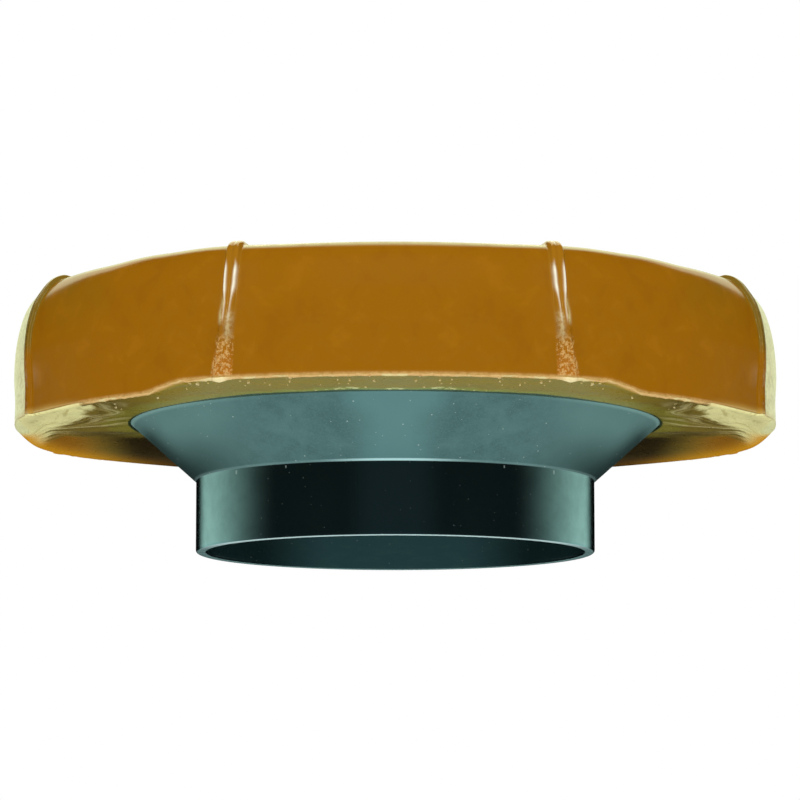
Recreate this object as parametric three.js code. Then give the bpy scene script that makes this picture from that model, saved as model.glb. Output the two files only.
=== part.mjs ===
// Toilet pan seal: a poured wax ring that holds the flange of a moulded plastic horn.
// Millimetres, +Z up. The origin is the centre of the horn's lower rim, and -Y is the front.

import * as THREE from 'three';

// Horn: a spigot for the waste pipe, a cone, and a flat flange that lies inside the wax
const SPIGOT_RADIUS = 38; // outside radius, for a pipe of 3 inch nominal bore
const SPIGOT_LENGTH = 13.4;
const HORN_WALL = 2.1;
const CONE_RUN = 12.4; // how much the cone widens between the neck and the wax
const CONE_RISE = 11.2; // height of the cone below the wax
const FLANGE_WIDTH = 6; // flat ring outside the cone
const FLANGE_THICKNESS = 2;
const HORN_ROUNDING = 0.6; // on the rims and at the neck

// Wax ring: eight bulged faces, a soft shoulder, a flat top and a round bore
const WAX_COVER = 13.6; // from the flange's edge out to the corners
const FLANGE_DEPTH = 3.5; // wax below the flange
const FACE_HEIGHT = 8.6; // of the straight part of the faces
const FACE_DRAFT = 1.6; // degrees
const MAIN_FACE_ANGLE = 48; // degrees of the ring that each of the four main faces takes
const FACE_BULGE = 5; // how far the middle of a face stands outside the line between its corners
const SHOULDER_WIDTH = 6.5;
const SHOULDER_HEIGHT = 15.4;
const BORE_DIP = 1.2; // how far the wax runs down inside the mouth of the cone
const BORE_DRAFT = 2; // degrees
const BORE_ROUNDING = 3;
const SEAT_GAP = 0.3; // between the flange and the wax

// Ribs: one bead up each corner, over the shoulder and a little way onto the top
const RIB_WIDTH = 3.2;
const RIB_HEIGHT = 0.8;
const RIB_TOP_LENGTH = 6;
const RIB_TOP_SHARE = 0.5; // of the rib's height that is left where it comes over the shoulder

// Lip: the edge that the mould left below the underside, by degrees from the front to the back
const LIP_WIDTH = 6;
const LIP_CREST = 1.6;
const LIP_ROUNDING = 0.5;
const LIP_HEIGHTS = [
  [0, 0.2],
  [30, 0.2],
  [38, 1.9],
  [60, 2.2],
  [78, 1.3],
  [92, 0.9],
  [107, 2],
  [142, 1.5],
  [180, 1.5],
];

// Facets
const HORN_SEGMENTS = 96;
const HORN_ROUNDING_STEPS = 2;
const BORE_ROUNDING_STEPS = 4;
const SHOULDER_STEPS = 8;
const FACE_STEPS = 8;
const RIB_STEPS = 3; // on each side of a rib
const MAX_ROUNDING = 0.4; // of the wall that is rounded

const FULL_TURN = 360;
const MAIN_FACES = 4; // with a narrower face between each two
const facePitch = FULL_TURN / MAIN_FACES;

const neckHeight = SPIGOT_LENGTH;
const undersideHeight = neckHeight + CONE_RISE;
const shoulderFoot = undersideHeight + FACE_HEIGHT;
const waxTop = shoulderFoot + SHOULDER_HEIGHT;
const flangeUnderside = undersideHeight + FLANGE_DEPTH;
const flangeTop = flangeUnderside + FLANGE_THICKNESS;
const flangeRadius = coneRadius(flangeUnderside, 0) + FLANGE_WIDTH;
const cornerRadius = flangeRadius + WAX_COVER;

const { degToRad, lerp, smoothstep } = THREE.MathUtils;

const waxMaterial = new THREE.MeshStandardMaterial({ color: 0x9c650f, roughness: 0.38, metalness: 0 });
const hornMaterial = new THREE.MeshStandardMaterial({ color: 0x1d3438, roughness: 0.42, metalness: 0 });

// Radius at a height of a surface that lies outside the cone's outer face by an offset
function coneRadius(height, offset) {
  const slope = CONE_RUN / CONE_RISE;
  return SPIGOT_RADIUS + (height - neckHeight) * slope + offset * Math.hypot(1, slope);
}

// A closed outline through corners of [radius, height, rounding], as points of radius and height
function roundedOutline(corners) {
  return corners.flatMap(([radius, height, rounding], index) => {
    const corner = new THREE.Vector2(radius, height);
    const before = new THREE.Vector2(...corners.at(index - 1));
    const after = new THREE.Vector2(...corners[(index + 1) % corners.length]);
    const toBefore = before.sub(corner).normalize();
    const toAfter = after.sub(corner).normalize();
    const halfAngle = Math.acos(toBefore.dot(toAfter)) / 2;
    const reach = rounding / Math.tan(halfAngle);
    const start = corner.clone().addScaledVector(toBefore, reach);
    const end = corner.clone().addScaledVector(toAfter, reach);
    return new THREE.QuadraticBezierCurve(start, corner, end).getPoints(HORN_ROUNDING_STEPS);
  });
}

// The horn's wall: up the outside, round the flange and down the inside
function hornGeometry() {
  const innerRadius = SPIGOT_RADIUS - HORN_WALL;
  const innerNeck = neckHeight + (HORN_WALL * (Math.hypot(CONE_RUN, CONE_RISE) - CONE_RISE)) / CONE_RUN;
  const rim = Math.min(HORN_ROUNDING, MAX_ROUNDING * HORN_WALL);
  const flangeEdge = Math.min(HORN_ROUNDING, MAX_ROUNDING * FLANGE_THICKNESS);
  const outline = roundedOutline([
    [SPIGOT_RADIUS, 0, rim],
    [SPIGOT_RADIUS, neckHeight, rim],
    [coneRadius(flangeUnderside, 0), flangeUnderside, rim],
    [flangeRadius, flangeUnderside, flangeEdge],
    [flangeRadius, flangeTop, flangeEdge],
    [coneRadius(flangeTop, -HORN_WALL), flangeTop, rim],
    [innerRadius, innerNeck, rim],
    [innerRadius, 0, rim],
  ]);
  outline.push(outline[0]);
  return new THREE.LatheGeometry(outline, HORN_SEGMENTS).rotateX(Math.PI / 2);
}

// Distance from the axis to the ring's outline, at an angle from the front and for a size of corner
function outlineRadius(angle, corner) {
  const fromMainFace = Math.abs(angle - facePitch * Math.round(angle / facePitch));
  const mainHalf = MAIN_FACE_ANGLE / 2;
  const onMainFace = fromMainFace <= mainHalf;
  const half = degToRad(onMainFace ? mainHalf : facePitch / 2 - mainHalf);
  const fromMiddle = degToRad(onMainFace ? fromMainFace : facePitch / 2 - fromMainFace);
  const middle = corner * Math.cos(half) + FACE_BULGE;
  const halfWidth = corner * Math.sin(half);
  // The face bulges as a parabola, so the share of its half width at this angle solves a quadratic
  const slope = Math.tan(fromMiddle);
  const root = Math.sqrt(halfWidth ** 2 + 4 * FACE_BULGE * slope ** 2 * middle);
  const share = (2 * slope * middle) / (halfWidth + root);
  return Math.hypot(middle - FACE_BULGE * share ** 2, halfWidth * share);
}

// The angles of the corners, in degrees from the front
function cornerAngles() {
  return Array.from({ length: MAIN_FACES }, (_, face) => [
    face * facePitch - MAIN_FACE_ANGLE / 2,
    face * facePitch + MAIN_FACE_ANGLE / 2,
  ]).flat();
}

// Degrees between two directions, the short way round
function degreesApart(angle, other) {
  const turned = angle - other;
  return Math.abs(turned - FULL_TURN * Math.round(turned / FULL_TURN));
}

// Height of the rib's bead at an angle: a full wave across its width, and nothing beyond
function ribHeight(angle) {
  const nearest = Math.min(...cornerAngles().map((corner) => degreesApart(angle, corner)));
  const across = (degToRad(nearest) * cornerRadius) / (RIB_WIDTH / 2);
  return across < 1 ? (RIB_HEIGHT * (1 + Math.cos(Math.PI * across))) / 2 : 0;
}

// Depth of the lip below the underside at an angle from the front, alike on both sides
function lipHeight(angle) {
  const turned = degreesApart(angle, 0);
  const next = LIP_HEIGHTS.findIndex(([station]) => station >= turned);
  const [endAngle, endHeight] = LIP_HEIGHTS[next];
  const [startAngle, startHeight] = LIP_HEIGHTS[Math.max(next - 1, 0)];
  return lerp(startHeight, endHeight, smoothstep(turned, startAngle, endAngle));
}

// The side from the face's top edge to the flat top: inset, height, facing, and the share of the rib
function sideStations() {
  const draft = Math.tan(degToRad(FACE_DRAFT));
  const shoulderInset = draft * FACE_HEIGHT;
  const stations = [];
  for (let step = 0; step <= SHOULDER_STEPS; step += 1) {
    const turn = (Math.PI / 2) * (step / SHOULDER_STEPS);
    stations.push({
      inset: shoulderInset + SHOULDER_WIDTH * (1 - Math.cos(turn)),
      height: shoulderFoot + SHOULDER_HEIGHT * Math.sin(turn),
      facing: new THREE.Vector2(Math.cos(turn) / SHOULDER_WIDTH, Math.sin(turn) / SHOULDER_HEIGHT).normalize(),
      rib: lerp(1, RIB_TOP_SHARE, smoothstep(step, 0, SHOULDER_STEPS)),
    });
  }
  const topInset = shoulderInset + SHOULDER_WIDTH + RIB_TOP_LENGTH;
  stations.push({ inset: topInset, height: waxTop, facing: new THREE.Vector2(0, 1), rib: 0 });
  return stations;
}

// The bore and the seat round the flange, from the top down to the underside
function seatOutline() {
  const boreFoot = undersideHeight - BORE_DIP;
  const boreRadius = coneRadius(boreFoot, -HORN_WALL - SEAT_GAP);
  const boreTop = boreRadius + Math.tan(degToRad(BORE_DRAFT)) * (waxTop - boreFoot);
  const edge = new THREE.QuadraticBezierCurve(
    new THREE.Vector2(boreTop + BORE_ROUNDING, waxTop),
    new THREE.Vector2(boreTop, waxTop),
    new THREE.Vector2(boreTop, waxTop - BORE_ROUNDING),
  );
  const above = flangeTop + SEAT_GAP;
  const below = flangeUnderside - SEAT_GAP;
  return [
    ...edge.getPoints(BORE_ROUNDING_STEPS),
    new THREE.Vector2(boreRadius, boreFoot),
    new THREE.Vector2(coneRadius(above, -HORN_WALL - SEAT_GAP), above),
    new THREE.Vector2(flangeRadius + SEAT_GAP, above),
    new THREE.Vector2(flangeRadius + SEAT_GAP, below),
    new THREE.Vector2(coneRadius(below, SEAT_GAP), below),
    new THREE.Vector2(coneRadius(undersideHeight, SEAT_GAP), undersideHeight),
  ];
}

// One closed section of the wax at an angle from the front, as points of radius and height
function waxSection(angle, side, seat) {
  const rib = ribHeight(angle);
  const lip = lipHeight(angle);
  const foot = outlineRadius(angle, cornerRadius);
  const lipFoot = undersideHeight - lip;
  const outside = side.map(({ inset, height, facing, rib: share }) => {
    const radius = outlineRadius(angle, cornerRadius - inset);
    return new THREE.Vector2(radius, height).addScaledVector(facing, rib * share);
  });
  return [
    new THREE.Vector2(foot + rib, lipFoot + LIP_ROUNDING),
    ...outside,
    ...seat,
    new THREE.Vector2(foot - LIP_WIDTH, undersideHeight),
    new THREE.Vector2(foot - LIP_CREST, lipFoot),
    new THREE.Vector2(foot + rib - LIP_ROUNDING, lipFoot),
  ];
}

// The angles of the sections: close together across the ribs, and even along the faces
function sectionAngles() {
  const corners = cornerAngles();
  const ribHalf = THREE.MathUtils.radToDeg(RIB_WIDTH / 2 / cornerRadius);
  return corners.flatMap((corner, index) => {
    const nextCorner = index + 1 < corners.length ? corners[index + 1] : corners[0] + FULL_TURN;
    const angles = [];
    for (let step = -RIB_STEPS; step < RIB_STEPS; step += 1) {
      angles.push(corner + (ribHalf * step) / RIB_STEPS);
    }
    for (let step = 0; step < FACE_STEPS; step += 1) {
      angles.push(lerp(corner + ribHalf, nextCorner - ribHalf, step / FACE_STEPS));
    }
    return angles;
  });
}

// A closed surface through sections that follow each other round the axis
function ringLoft(sections) {
  const size = sections[0].length;
  const index = [];
  sections.forEach((_, at) => {
    const next = (at + 1) % sections.length;
    for (let point = 0; point < size; point += 1) {
      const following = (point + 1) % size;
      const [a, b] = [at * size + point, at * size + following];
      const [c, d] = [next * size + point, next * size + following];
      index.push(a, b, d, a, d, c);
    }
  });
  const geometry = new THREE.BufferGeometry();
  geometry.setAttribute('position', new THREE.Float32BufferAttribute(sections.flat(2), 3));
  geometry.setIndex(index);
  geometry.computeVertexNormals();
  return geometry;
}

function waxGeometry() {
  const side = sideStations();
  const seat = seatOutline();
  const sections = sectionAngles().map((angle) => {
    const turn = degToRad(angle);
    return waxSection(angle, side, seat).map(({ x: radius, y: height }) => [
      -radius * Math.sin(turn),
      -radius * Math.cos(turn),
      height,
    ]);
  });
  return ringLoft(sections);
}

function named(name, geometry, material) {
  const mesh = new THREE.Mesh(geometry, material);
  mesh.name = name;
  return mesh;
}

const seal = new THREE.Group();
seal.add(named('wax_ring', waxGeometry(), waxMaterial));
seal.add(named('plastic_horn', hornGeometry(), hornMaterial));

export default seal;
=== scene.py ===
# Toilet pan seal: the looks of the poured wax ring and of the moulded plastic horn that it holds.
# Metres, +Z up. The origin is the centre of the horn's lower rim, and -Y is the front.

import math
from functools import reduce
from types import SimpleNamespace

import bpy
import numpy as np
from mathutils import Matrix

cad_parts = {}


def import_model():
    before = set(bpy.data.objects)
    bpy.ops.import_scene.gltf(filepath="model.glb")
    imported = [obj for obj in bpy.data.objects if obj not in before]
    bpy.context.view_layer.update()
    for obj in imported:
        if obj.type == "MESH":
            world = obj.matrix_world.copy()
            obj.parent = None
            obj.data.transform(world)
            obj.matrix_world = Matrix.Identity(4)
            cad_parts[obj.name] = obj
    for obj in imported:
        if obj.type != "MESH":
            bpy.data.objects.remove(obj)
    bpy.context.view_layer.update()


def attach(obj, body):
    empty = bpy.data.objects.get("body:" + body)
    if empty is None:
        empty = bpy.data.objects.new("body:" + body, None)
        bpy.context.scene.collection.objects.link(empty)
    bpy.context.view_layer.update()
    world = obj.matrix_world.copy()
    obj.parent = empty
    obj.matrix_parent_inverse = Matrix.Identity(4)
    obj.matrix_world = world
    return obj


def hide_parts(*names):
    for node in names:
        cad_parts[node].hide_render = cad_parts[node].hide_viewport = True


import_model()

MM = 0.001

# Horn
SPIGOT_RADIUS = 38 * MM
SPIGOT_LENGTH = 13.4 * MM
HORN_WALL = 2.1 * MM
CONE_RUN = 12.4 * MM
CONE_RISE = 11.2 * MM
FLANGE_WIDTH = 6 * MM
FLANGE_THICKNESS = 2 * MM
RIM_ROUNDING = 0.55 * MM
NECK_ROUNDING = 0.35 * MM
FLANGE_ROUNDING = 0.6 * MM
HORN_SEGMENTS = 320
ROUNDING_STEPS = 6
WALL_STEP = 1.2 * MM  # between the rows of the horn's mesh

# Wax ring
WAX_COVER = 13.6 * MM
FLANGE_DEPTH = 3.5 * MM
FACE_HEIGHT = 8.6 * MM
FACE_DRAFT = math.radians(1.6)
MAIN_HALF = math.radians(24)  # half of the ring that each main face takes
CORNER_HALF = math.radians(21)  # half of the ring that each face between them takes
FACE_BULGE = 5 * MM
SHOULDER_WIDTH = 6.5 * MM
SHOULDER_HEIGHT = 15.4 * MM
BORE_DIP = 1.2 * MM
BORE_DRAFT = math.radians(2)
BORE_ROUNDING = 3 * MM
SEAT_GAP = 0.15 * MM
LIP_WIDTH = 6 * MM
LIP_CREST = 1.6 * MM
LIP_ROUNDING = 0.5 * MM
LIP_TURNS = np.radians([0, 30, 38, 60, 78, 92, 107, 142, 180])
LIP_DEPTHS = np.array([0.05, 0.05, 1.85, 2.2, 1.5, 1.25, 2.1, 1.5, 1.5]) * MM
SWELL_TURNS = np.radians([0, 15, 28, 38, 50, 58, 70, 90, 180])
SWELLS = np.array([0.42, 0.4, 0.62, 0.3, -0.28, -0.3, -0.1, 0, 0]) * MM  # of the hand-poured top edge
SIDE_FULLNESS = 0.38 * MM  # of the left and right shoulders

# Ribs up the corners: a flat bead with two rounded ridges side by side. At each height a rib has
# a half width, a distance from its middle to the top of a ridge, and a shift towards the back.
RIB_STATIONS_UP = np.array([24.6, 28, 31, 33.5, 38, 41, 44.5, 47.3, 48.6]) * MM
RIB_HALVES = np.array([1.85, 1.65, 1.5, 1.42, 1.4, 1.5, 1.55, 1.6, 1.6]) * MM
RIDGES_APART = np.array([0.5, 0.5, 0.5, 0.5, 0.54, 0.88, 0.95, 0.75, 0.5]) * MM
RIB_SHIFTS = np.array([0.4, 0.15, -0.15, -0.35, -0.8, -0.78, -0.55, 0.05, 0.35]) * MM
RIB_HEIGHT = 0.62 * MM
RIB_FLANK = 0.5 * MM
RIDGE_ROUNDING = 1.9 * MM
RIB_SMOOTH_FROM = 35 * MM  # height above which the rib is smooth
RIB_END = 3.5 * MM  # how far the rib runs on over the flat top

# Rows and stations of the wax's mesh
FACE_ROWS = 30
SHOULDER_ROWS = 36
TOP_ROWS = 10
UNDERSIDE_ROWS = 22
LIP_ROWS = 8
LIP_STEPS = 4
RIB_REACH = 2.7 * MM  # stations lie close together this far from a rib's middle
RIB_STATIONS = 40
FACE_STATIONS = 42

NECK_HEIGHT = SPIGOT_LENGTH
UNDERSIDE = NECK_HEIGHT + CONE_RISE
SHOULDER_FOOT = UNDERSIDE + FACE_HEIGHT
WAX_TOP = SHOULDER_FOOT + SHOULDER_HEIGHT
FLANGE_UNDERSIDE = UNDERSIDE + FLANGE_DEPTH
NECK_EDGE = NECK_HEIGHT + 0.2 * MM
FLANGE_TOP = FLANGE_UNDERSIDE + FLANGE_THICKNESS


def cone_radius(height, offset):
    """Radius at a height of a surface that lies outside the cone's outer face by an offset."""
    slope = CONE_RUN / CONE_RISE
    return SPIGOT_RADIUS + (height - NECK_HEIGHT) * slope + offset * math.hypot(1, slope)


FLANGE_RADIUS = cone_radius(FLANGE_UNDERSIDE, 0) + FLANGE_WIDTH
CORNER_RADIUS = FLANGE_RADIUS + WAX_COVER


# Helpers for numbers

def smooth(value, low, high):
    """0 below low, 1 above high, and a smooth step between."""
    share = np.clip((value - low) / (high - low), 0, 1)
    return share * share * (3 - 2 * share)


def between(value, rise_from, rise_to, fall_from, fall_to):
    """A smooth step up from 0 to 1, and a smooth step down again."""
    return smooth(value, rise_from, rise_to) * (1 - smooth(value, fall_from, fall_to))


def hump(value, middle, width):
    """1 at the middle, falling smoothly to 0 on both sides."""
    return np.exp(-((value - middle) / width) ** 2)


def hashed(cells, seed):
    """A steady random number from 0 to 1 for each row of three whole numbers."""
    cells = cells.astype(np.int64)
    mixed = cells[..., 0] * 374761393 + cells[..., 1] * 668265263 + cells[..., 2] * 2147483647
    mixed = (mixed + seed * 1274126177) & 0xFFFFFFFF
    mixed = ((mixed ^ (mixed >> 13)) * 1103515245) & 0xFFFFFFFF
    mixed = ((mixed ^ (mixed >> 16)) * 2246822519) & 0xFFFFFFFF
    return ((mixed ^ (mixed >> 15)) & 0xFFFFFF) / 0xFFFFFF


def ripple(points, size, seed):
    """Smooth noise from -1 to 1 with bumps of about the given size in millimetres, alike left and right."""
    scaled = points / (size * MM)
    scaled = np.stack([np.abs(scaled[..., 0]), scaled[..., 1], scaled[..., 2]], axis=-1)
    cell = np.floor(scaled)
    inside = scaled - cell
    weight = inside * inside * (3 - 2 * inside)
    total = np.zeros(points.shape[:-1])
    for corner in np.ndindex(2, 2, 2):
        share = np.ones_like(total)
        for axis, side in enumerate(corner):
            share = share * (weight[..., axis] if side else 1 - weight[..., axis])
        total = total + share * hashed(cell + np.array(corner), seed)
    return total * 2 - 1


# Helpers for meshes

def grid_faces(rows, columns):
    """Quads of a grid that closes on itself both ways."""
    row, column = np.meshgrid(np.arange(rows), np.arange(columns), indexing="ij")
    after, beside = (row + 1) % rows, (column + 1) % columns
    corners = [(row, column), (row, beside), (after, beside), (after, column)]
    return np.stack([a * columns + b for a, b in corners], axis=-1).reshape(-1, 4)


def around_axis(turn, radius, level):
    """Points at angles from the front, distances from the axis and heights."""
    across = -radius * np.sin(turn)
    return np.stack([across, -radius * np.cos(turn), np.broadcast_to(level, across.shape)], axis=-1)


def add_object(name, data):
    """A new object in the scene from a mesh, a lamp or a camera."""
    made = bpy.data.objects.new(name, data)
    bpy.context.scene.collection.objects.link(made)
    return made


def mesh_object(name, points, faces, material, attributes, sharp=math.radians(38)):
    """A smooth-shaded object from points, faces, and numbers or vectors on the points."""
    points = points.reshape(-1, 3)
    mesh = bpy.data.meshes.new(name)
    mesh.from_pydata(points.tolist(), [], faces.tolist())
    for title, values in attributes.items():
        is_vector = values.size == points.size
        layer = mesh.attributes.new(title, "FLOAT_VECTOR" if is_vector else "FLOAT", "POINT")
        layer.data.foreach_set("vector" if is_vector else "value", values.astype(np.float32).ravel())
    mesh.polygons.foreach_set("use_smooth", [True] * len(mesh.polygons))
    mesh.set_sharp_from_angle(angle=sharp)
    mesh.materials.append(material)
    return add_object(name, mesh)


# Helpers for materials

# Sockets of the mix node when it mixes colours
MIX_FIRST = 6
MIX_SECOND = 7
MIX_RESULT = 2


class Shader:
    """Builds a node tree a step at a time. Most methods return an output socket."""

    def __init__(self, tree):
        self.tree = tree
        tree.nodes.clear()

    def node(self, kind, inputs, **settings):
        """A new node with each input linked to a socket or set to a value."""
        made = self.tree.nodes.new(kind)
        for title, value in settings.items():
            setattr(made, title, value)
        for title, value in inputs.items():
            if isinstance(value, bpy.types.NodeSocket):
                self.tree.links.new(value, made.inputs[title])
            else:
                made.inputs[title].default_value = value
        return made

    def math(self, operation, *values):
        return self.node("ShaderNodeMath", dict(enumerate(values)), operation=operation).outputs[0]

    def product(self, *factors):
        return reduce(lambda first, second: self.math("MULTIPLY", first, second), factors)

    def total(self, *terms):
        return reduce(lambda first, second: self.math("ADD", first, second), terms)

    def apart(self, value, middle):
        """Distance of a value from a middle."""
        return self.math("ABSOLUTE", self.math("SUBTRACT", value, middle))

    def span(self, value, low, high, start=0.0, end=1.0):
        """start where value is at or below low, end at or above high, and a smooth step between."""
        inputs = {"Value": value, "From Min": low, "From Max": high, "To Min": start, "To Max": end}
        made = self.node("ShaderNodeMapRange", inputs, interpolation_type="SMOOTHSTEP")
        return made.outputs["Result"]

    def fade(self, value, low, high, start=0.0, end=1.0):
        """The same for a distance, with low and high in millimetres."""
        return self.span(value, low * MM, high * MM, start, end)

    def blend(self, share, first, second):
        """A colour between first and second."""
        inputs = {0: share}
        for socket, colour in ((MIX_FIRST, first), (MIX_SECOND, second)):
            inputs[socket] = (*colour, 1) if isinstance(colour, tuple) else colour
        return self.node("ShaderNodeMix", inputs, data_type="RGBA").outputs[MIX_RESULT]

    def layers(self, colour, *coats):
        """A colour with coats over it, each a share and a colour of its own."""
        for share, coat in coats:
            colour = self.blend(share, colour, coat)
        return colour

    def attribute(self, title, output="Fac"):
        return self.node("ShaderNodeAttribute", {}, attribute_name=title).outputs[output]

    def noise(self, vector, size, detail=2.0, roughness=0.5, distortion=0.0):
        """Noise with bumps of about the given size in millimetres."""
        inputs = {"Vector": vector, "Scale": 1 / (size * MM), "Detail": detail, "Roughness": roughness}
        return self.node("ShaderNodeTexNoise", {**inputs, "Distortion": distortion}).outputs["Fac"]

    def specks(self, vector, size, share, reach):
        """1 on small round specks, from the cells' size in millimetres, the share of the cells that hold
        one, and its reach in sizes."""
        cells = self.node("ShaderNodeTexVoronoi", {"Vector": vector, "Scale": 1 / (size * MM)}).outputs
        picked = self.node("ShaderNodeSeparateColor", {"Color": cells["Color"]}).outputs
        chosen = self.math("LESS_THAN", picked["Red"], share)
        widest = self.math("MULTIPLY_ADD", picked["Green"], reach * 0.6, reach * 0.4)
        return self.product(chosen, self.math("LESS_THAN", cells["Distance"], widest))

    def stretch(self, vector, factors):
        made = self.node("ShaderNodeVectorMath", {0: vector, 1: factors}, operation="MULTIPLY")
        return made.outputs[0]

    def place(self):
        return self.node("ShaderNodeTexCoord", {}).outputs["Object"]

    def position(self):
        """The place on the object and its x, y and z, with x alike on both sides of the middle."""
        parts = self.node("ShaderNodeSeparateXYZ", {"Vector": self.place()}).outputs
        across = self.math("ABSOLUTE", parts["X"])
        both = self.node("ShaderNodeCombineXYZ", {"X": across, "Y": parts["Y"], "Z": parts["Z"]})
        return both.outputs["Vector"], across, parts["Y"], parts["Z"]

    def bump(self, height, distance, strength, under=None):
        """A relief with a depth in millimetres."""
        inputs = {"Height": height, "Distance": distance * MM, "Strength": strength}
        if under is not None:
            inputs["Normal"] = under
        return self.node("ShaderNodeBump", inputs).outputs["Normal"]

    def surface(self, inputs):
        """The principled shader on the output."""
        shader = self.node("ShaderNodeBsdfPrincipled", inputs)
        self.node("ShaderNodeOutputMaterial", {"Surface": shader.outputs["BSDF"]})


def new_material(name):
    material = bpy.data.materials.new(name)
    material.use_nodes = True
    return material, Shader(material.node_tree)


WAX_IOR = 1.45
HORN_IOR = 1.5

AMBER = (0.33, 0.1265, 0.0008)
OLIVE_AMBER = (0.27, 0.13, 0.0035)
DEEP_AMBER = (0.3, 0.108, 0.001)
LIGHT_AMBER = (0.385, 0.152, 0.003)
RIB_GOLD = (0.4, 0.17, 0.005)
RIB_OLIVE = (0.22, 0.14, 0.012)
# painted highlight along the rim of the shoulder and the edge of the flat top
TOP_EDGE_HIGHLIGHT = (0.53, 0.45, 0.18)
# painted highlight along the two ridges of each rib
RIDGE_HIGHLIGHT = (0.97, 0.93, 0.74)
ORANGE = (0.5, 0.17, 0.01)
CREAM = (0.8, 0.72, 0.34)
# pale scuffed wax together with a painted reflection of the pale wall, on the left and right faces and on
# the crest of the side lip
SCUFF_AND_REFLECTION_CREAM = (0.96, 0.97, 0.5)
SCUFF_AND_REFLECTION_GREEN = (0.64, 0.65, 0.26)
PEACH_CREAM = (0.72, 0.44, 0.15)
SOFT_PEACH = (0.62, 0.4, 0.09)
SILVER_CREAM = (0.56, 0.42, 0.19)
OLIVE = (0.39, 0.26, 0.014)
GREEN_OLIVE = (0.345, 0.262, 0.018)
TAN = (0.27, 0.19, 0.022)
PALE_SMEAR = (1, 0.95, 0.43)
DARK_SMEAR = (0.12, 0.09, 0.02)
LIME = (0.36, 0.41, 0.05)
# painted shade where the wax meets the cone
CONTACT_SHADE_GREEN = (0.028, 0.062, 0.028)
BURNT = (0.34, 0.135, 0.003)
# the lip's golden glow, painted as light shining through it, and its painted shade near the cone
LIP_GLOW_GOLD = (0.84, 0.38, 0.003)
LIP_SHADE_GOLD = (0.12, 0.05, 0.004)
SHADE_BROWN = (0.022, 0.013, 0.005)
TORN_CREAM = (0.93, 0.8, 0.42)
SIDE_SHEEN = (0.93, 1, 0.62, 1)

WAX_MASKS = (
    "side_face", "underside", "pale_zone", "mixed_zone", "rib", "ridge_highlight", "crumbly", "silvery",
    "chunky", "edge", "soft_edge", "lip", "top_edge", "from_cone",
)


def face_colour(paint, place, across, height, fine):
    """Amber, a little greener high on the slanted faces."""
    broad = paint.noise(place, 22, 2, 0.5, 0.6)
    cloudy = paint.noise(place, 6.5, 4, 0.6, 0.5)
    high_up = paint.product(paint.span(broad, 0.42, 0.62), paint.fade(height, 34, 45))
    return paint.layers(
        AMBER,
        (paint.product(high_up, paint.fade(across, 32, 58), 0.8), OLIVE_AMBER),
        (paint.span(fine, 0.62, 0.8, 0, 0.25), DEEP_AMBER),
        (paint.span(cloudy, 0.52, 0.68, 0, 0.6), DEEP_AMBER),
        (paint.span(cloudy, 0.46, 0.32, 0, 0.5), LIGHT_AMBER),
    )


def rib_colour(paint, colour, masks, across, height, grit):
    """Painted highlights on the two ridges above, silvery grit below them, and orange with pale torn crumbs
    at the foot.
    """
    bead = paint.blend(paint.fade(across, 40, 52, 1, 0), RIB_OLIVE, RIB_GOLD)
    crumbly = masks["crumbly"]
    torn = paint.product(crumbly, paint.span(grit, 0.46, 0.58, 0, 0.8), paint.fade(height, 30.5, 33, 1, 0))
    return paint.layers(
        colour,
        (paint.product(masks["rib"], 0.8), bead),
        (paint.product(crumbly, paint.fade(height, 25, 33, 0.85, 0)), ORANGE),
        (torn, PEACH_CREAM),
        (paint.product(masks["silvery"], paint.span(grit, 0.36, 0.56, 0.3, 1)), SILVER_CREAM),
        (paint.product(masks["chunky"], paint.span(grit, 0.3, 0.45)), CREAM),
        # painted highlight along the two ridges
        (masks["ridge_highlight"], RIDGE_HIGHLIGHT),
    )


def underside_colour(paint, masks, place, across, fine):
    """Olive, tan at the left and right, and greener and with pale dabs beside the cone."""
    wander = paint.span(paint.noise(place, 5, 2, 0.5), 0.3, 0.7, -1.2 * MM, 1.2 * MM)
    beside = paint.fade(paint.total(masks["from_cone"], wander), 3, 7, 1, 0)
    dabs = paint.noise(paint.stretch(place, (1, 0.5, 1)), 2.4, 3, 0.6)
    dabs = paint.product(paint.span(dabs, 0.57, 0.63), beside, paint.fade(across, 16, 22, 1, 0))
    return paint.layers(
        OLIVE,
        (paint.span(fine, 0.35, 0.7), GREEN_OLIVE),
        (paint.fade(across, 38, 50), TAN),
        (paint.product(beside, paint.fade(across, 12, 36, 0.85, 0.3)), LIME),
        (paint.product(dabs, 0.8), PALE_SMEAR),
    )


def brushed_colour(paint, below, masks, long_strokes, dark_strokes):
    """Brush strokes of pale, tan and dark wax at the left and right of the underside."""
    pale_zone, mixed_zone = masks["pale_zone"], masks["mixed_zone"]
    pale = paint.total(pale_zone, paint.span(long_strokes, 0.3, 0.7, -0.42, 0.42))
    pale = paint.product(paint.span(pale, 0.25, 0.85), paint.span(pale_zone, 0, 0.12))
    return paint.layers(
        below,
        (paint.product(mixed_zone, paint.span(dark_strokes, 0.48, 0.66, 0, 0.6)), DARK_SMEAR),
        (paint.product(mixed_zone, paint.span(long_strokes, 0.5, 0.64, 0, 0.55)), CREAM),
        (pale, PALE_SMEAR),
        (paint.product(pale, paint.span(dark_strokes, 0.54, 0.68, 0, 0.4)), OLIVE),
    )


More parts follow.
